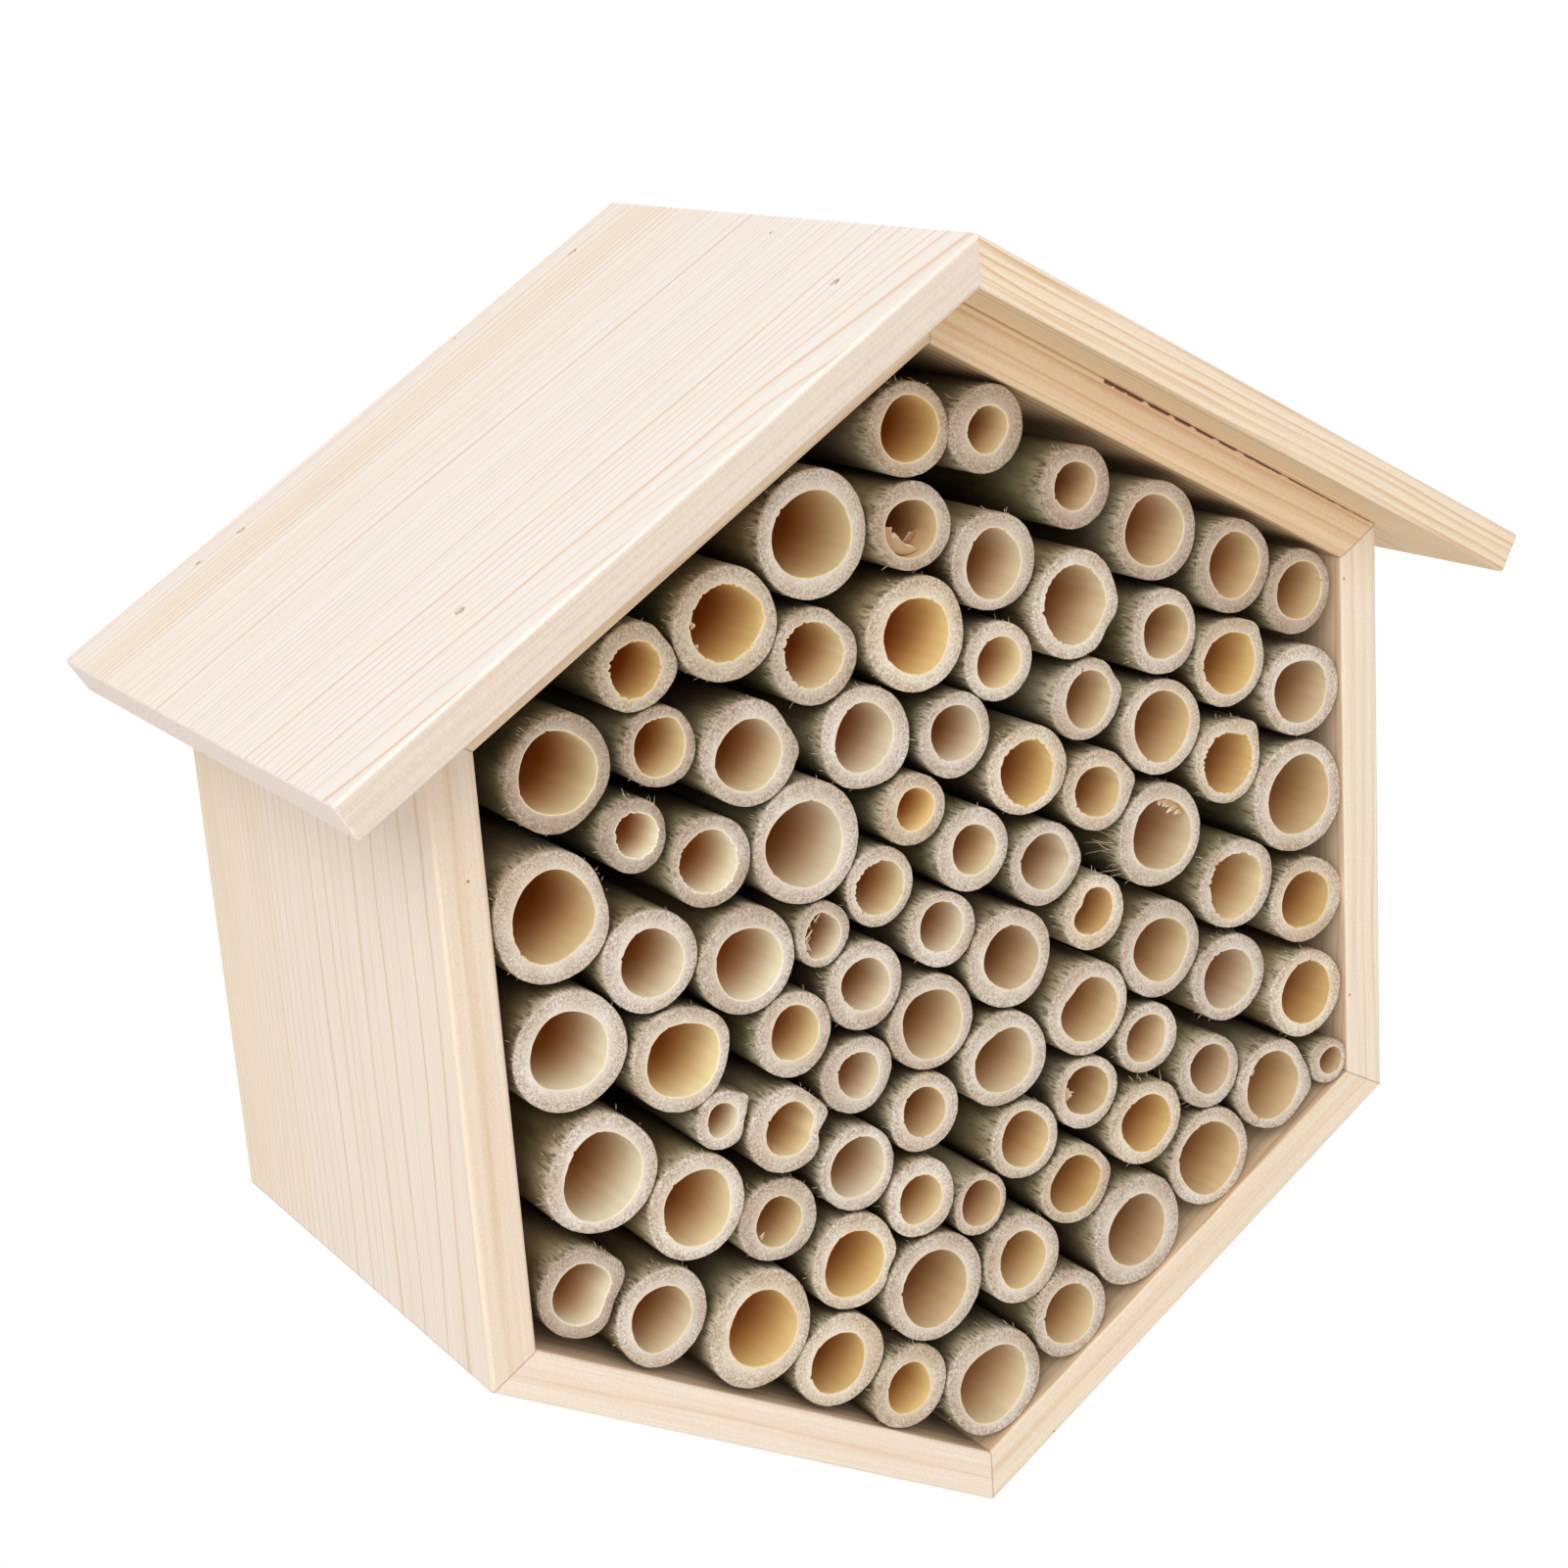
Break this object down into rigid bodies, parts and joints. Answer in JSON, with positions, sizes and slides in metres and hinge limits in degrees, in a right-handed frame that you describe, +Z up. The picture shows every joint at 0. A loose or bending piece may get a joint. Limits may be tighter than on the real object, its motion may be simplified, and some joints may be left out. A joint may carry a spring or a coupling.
{
  "type": "bee hotel",
  "caption": "Hexagonal wooden bee hotel standing on its point, with a pitched two-board roof, an open front packed with hollow bamboo canes and a keyhole in its back panel.",
  "frame": {"origin": "centre of the hexagon on the back face that lies against the wall", "axes": "+Y out of the back into the wall, so the open front faces -Y; +Z up to the roof's ridge; +X to the right as seen from the front"},
  "size_m": [0.2212, 0.114, 0.2181],
  "materials": {
    "pine_board": "bare, fine-sanded",
    "back_board": "bare, fine-sanded",
    "bamboo_cane": "bare, sawn ends",
    "steel_brad": "dull"
  },
  "bodies": {
    "housing": {"left_wall": "pine_board", "right_wall": "pine_board", "upper_left_wall": "pine_board", "upper_right_wall": "pine_board", "lower_left_wall": "pine_board", "lower_right_wall": "pine_board", "left_roof_board": "pine_board", "right_roof_board": "pine_board", "back_panel": "back_board", "left_roof_brads": "steel_brad", "right_roof_brads": "steel_brad"},
    "cane_stack": {"canes_08mm": "bamboo_cane", "canes_10mm": "bamboo_cane", "canes_11mm": "bamboo_cane", "canes_12mm": "bamboo_cane", "canes_13mm": "bamboo_cane", "canes_14mm": "bamboo_cane", "canes_15mm": "bamboo_cane", "canes_16mm": "bamboo_cane", "canes_17mm": "bamboo_cane", "canes_18mm": "bamboo_cane", "canes_19mm": "bamboo_cane", "canes_20mm": "bamboo_cane", "canes_21mm": "bamboo_cane"}
  },
  "joints": [
    {"name": "cane_stack_slide", "type": "slide", "parent": "housing", "child": "cane_stack", "axis": [0, -1, 0], "range_m": [0, 0.095]}
  ]
}
